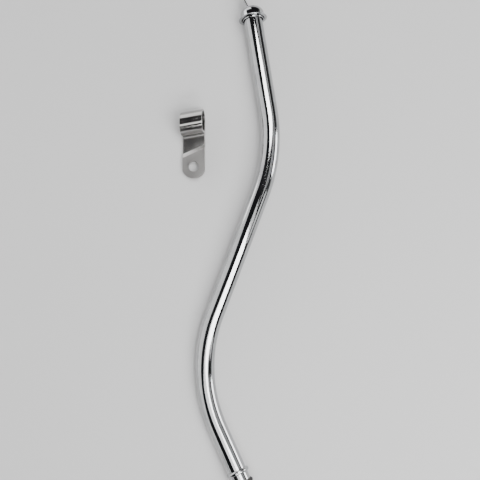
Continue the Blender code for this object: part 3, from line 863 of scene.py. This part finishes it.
def strap_points():
    low = STRAP_THICKNESS / 2
    high = low + LEG_PITCH
    end_x = HOLE_X - LEG_END_RADIUS
    legs = [(end_x, JOGGLE_HEIGHT), (STEP_HEAD, JOGGLE_HEIGHT), (STEP_FOOT, 0.0), (PINCH.x, 0.0)]
    lower_leg = fillet([Vector((x, low + rise)) for x, rise in legs], JOGGLE_FILLET)
    upper_leg = fillet([Vector((x, high + rise)) for x, rise in reversed(legs)], JOGGLE_FILLET)
    meet = math.atan2(PINCH.y - LOOP_CENTRE.y, PINCH.x - LOOP_CENTRE.x) % math.tau
    loop = [Vector(p) for p in arc(LOOP_CENTRE, STRAP_LOOP_RADIUS, -90, math.degrees(meet), 84)]
    start = math.degrees(math.atan2(LOOP_CENTRE.y - PINCH.y, LOOP_CENTRE.x - PINCH.x))
    turn = [Vector(p) for p in arc(PINCH, PINCH_RADIUS, start, -90, 14)]
    return [*lower_leg, *loop, *turn[1:], *upper_leg[1:]]


def strap_shear(place):
    """Slant across the strap: the step in both legs and the loop. The flats between them have none."""
    middle = (STEP_FOOT + STEP_HEAD) / 2
    margin = 0.0006
    reach = JOGGLE_RUN / 2 + margin
    if abs(place.x - middle) < reach:
        return math.tan(JOGGLE_SKEW)
    return math.tan(LOOP_SKEW) if place.x > PINCH.x - GAP else 0.0


def clamp():
    place = clamp_matrix()
    strap = sweep_strip("clamp_strap_plated", strap_points(), STRAP_WIDTH, STRAP_THICKNESS, place, 0.00022,
                        shear=strap_shear)
    waste = cutter_box((2 * LEG_END_RADIUS, 0.03, 2 * STRAP_WIDTH), (HOLE_X - LEG_END_RADIUS, 0.0, 0.0),
                       place)
    keep = cutter_rod(LEG_END_RADIUS - GAP, 0.06, (HOLE_X, 0.0, 0.0), (0.0, 1.0, 0.0), place, 128)
    carve(waste, [keep])
    hole = cutter_rod(HOLE_RADIUS, 0.03, (HOLE_X, 0.0, 0.0), (0.0, 1.0, 0.0), place, 72)
    carve(strap, [hole, waste])
    soften_edges(strap, 0.00012, 2, 55.0)
    keep_flats_flat(strap)
    shade_clamp(strap, place.inverted())
    dress(strap, satin_chrome("clamp_chrome_with_painted_highlight"))
    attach(strap, "clamp")
    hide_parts("clamp_strap")


def shade_clamp(strap, to_local):
    """Attributes: satin on the legs beyond the pinch, and the faces of the step that carry tool marks and a
    painted highlight.
    """
    fade, inner_leg = 0.012, 0.5         # run from gloss to satin, and the most between pinch and step
    satin = strap.data.attributes.new("satin", "FLOAT", "POINT")
    slant = math.tan(JOGGLE_SKEW)
    for index, vertex in enumerate(strap.data.vertices):
        local = to_local @ vertex.co
        full = 1.0 if local.x - local.z * slant < STEP_HEAD else inner_leg
        satin.data[index].value = min(full, max(0.0, (PINCH.x - local.x) / fade))
    # the step mask also lightens these faces' colour, as a painted highlight
    step = strap.data.attributes.new("step", "FLOAT", "FACE")
    for index, face in enumerate(strap.data.polygons):
        local = to_local @ face.center
        on_step = STEP_HEAD < local.x - local.z * slant < STEP_FOOT
        step.data[index].value = 1.0 if on_step else 0.0


# ---------------------------------------------------------------- studio
LIGHTS = (  # name, place, turn in degrees, size, radiance, shape
    ("overhead_far", (0.17, 0.425, 1.0), (0, 0, 8), (0.70, 0.30), 12.0, "ELLIPSE"),
    ("overhead_near", (0.70, -0.38, 1.0), (0, 0, -21), (1.24, 0.36), 12.0, "RECTANGLE"),
    ("overhead_near_soft", (-0.14, -0.28, 1.0), (0, 0, 17), (0.58, 0.30), 3.0, "RECTANGLE"),
    ("overhead_fill", (0.50, -1.15, 1.0), (0, 0, 0), (1.20, 0.50), 12.0, "RECTANGLE"),
    ("overhead_middle", (0.54, -0.14, 1.0), (0, 0, -21), (0.80, 0.14), 1.5, "RECTANGLE"),
    ("left_softbox", (-2.70, 0.13, 0.5), (0, 0, 45), (3.39, 3.39), 1.6, "RECTANGLE"),
    ("left_low_card", (-2.2, 0.10, 0.13), (0, -90, 0), (0.26, 3.0), 1.6, "RECTANGLE"),
    ("back_left_softbox", (-1.10, 1.0, 0.36), (-90, 0, 0), (1.9, 0.72), 2.2, "RECTANGLE"),
    ("right_strip_near", (0.68, 0.5, 1.0), (0, 0, 0), (0.14, 1.2), 1.5, "RECTANGLE"),
    ("right_strip_far", (1.10, 0.5, 1.0), (0, 0, 0), (0.24, 1.2), 1.2, "RECTANGLE"),
    ("right_card", (1.5, 0.20, 0.32), (0, 90, 0), (0.55, 0.5), 8.0, "RECTANGLE"),
    ("right_low_card", (1.5, -0.36, 0.8), (0, 90, 0), (0.6, 0.2), 1.5, "RECTANGLE"),
)
FLOOR_HALF_SIZE = 6.0
LOW_GLOW = (0.30, 0.30, 0.30, 1.0)        # world colour at and below the horizon
HIGH_DARK = (0.022, 0.022, 0.024, 1.0)    # world colour above it
GLOW_ENDS = 0.30                          # height at which the one has faded into the other


def panel(name, place, turn, size, radiance, shape):
    """A softbox facing down unless turned, with its brightness given, not its power."""
    light = bpy.data.lights.new(name, "AREA")
    light.shape = shape
    light.size, light.size_y = size
    area = size[0] * size[1] * (math.pi / 4 if shape == "ELLIPSE" else 1.0)
    light.energy = radiance * math.pi * area
    holder = bpy.data.objects.new(name, light)
    bpy.context.scene.collection.objects.link(holder)
    holder.location = place
    holder.rotation_euler = [math.radians(angle) for angle in turn]


def studio():
    bm = bmesh.new()
    bmesh.ops.create_grid(bm, x_segments=8, y_segments=8, size=FLOOR_HALF_SIZE)
    floor = finish_mesh("studio_floor", bm, Matrix.Identity(4))
    dress(floor, floor_finish())
    for row in LIGHTS:
        panel(*row)
    world = bpy.data.worlds.new("studio")
    bpy.context.scene.world = world
    world.use_nodes = True
    tree = world.node_tree
    background = tree.nodes["Background"]
    coords = tree.nodes.new("ShaderNodeTexCoord")
    parts = tree.nodes.new("ShaderNodeSeparateXYZ")
    ramp = tree.nodes.new("ShaderNodeValToRGB")
    ramp.color_ramp.elements[0].position = 0.0
    ramp.color_ramp.elements[0].color = LOW_GLOW
    ramp.color_ramp.elements[1].position = GLOW_ENDS
    ramp.color_ramp.elements[1].color = HIGH_DARK
    tree.links.new(coords.outputs["Generated"], parts.inputs["Vector"])
    tree.links.new(parts.outputs["Z"], ramp.inputs["Fac"])
    tree.links.new(ramp.outputs["Color"], background.inputs["Color"])
    background.inputs["Strength"].default_value = 1.0


def camera():
    back = Vector((0.0, -math.sin(VIEW_TILT), math.cos(VIEW_TILT)))
    data = bpy.data.cameras.new("photo_view")
    data.lens = LENS_MM
    data.sensor_width = SENSOR_MM
    data.clip_start, data.clip_end = 0.01, 20.0
    holder = bpy.data.objects.new("photo_view", data)
    bpy.context.scene.collection.objects.link(holder)
    holder.location = VIEW_TARGET + back * VIEW_DISTANCE
    holder.rotation_mode = "QUATERNION"
    holder.rotation_quaternion = (-back).to_track_quat("-Z", "Y")
    bpy.context.scene.camera = holder


def build():
    axis = dipstick_matrix()
    base = axis @ Matrix.Rotation(-MOUTH_HEADING, 4, "Z")
    cap = axis @ Matrix.Rotation(-CAP_COCK, 4, "X")
    camera()
    studio()
    filler_tube(base)
    lower_seal(base)
    cap_shell(cap)
    cap_insides(cap)
    handle(cap)
    rivets(cap)
    blades(base, axis, cap)
    blade_tip(base)
    clamp()


build()
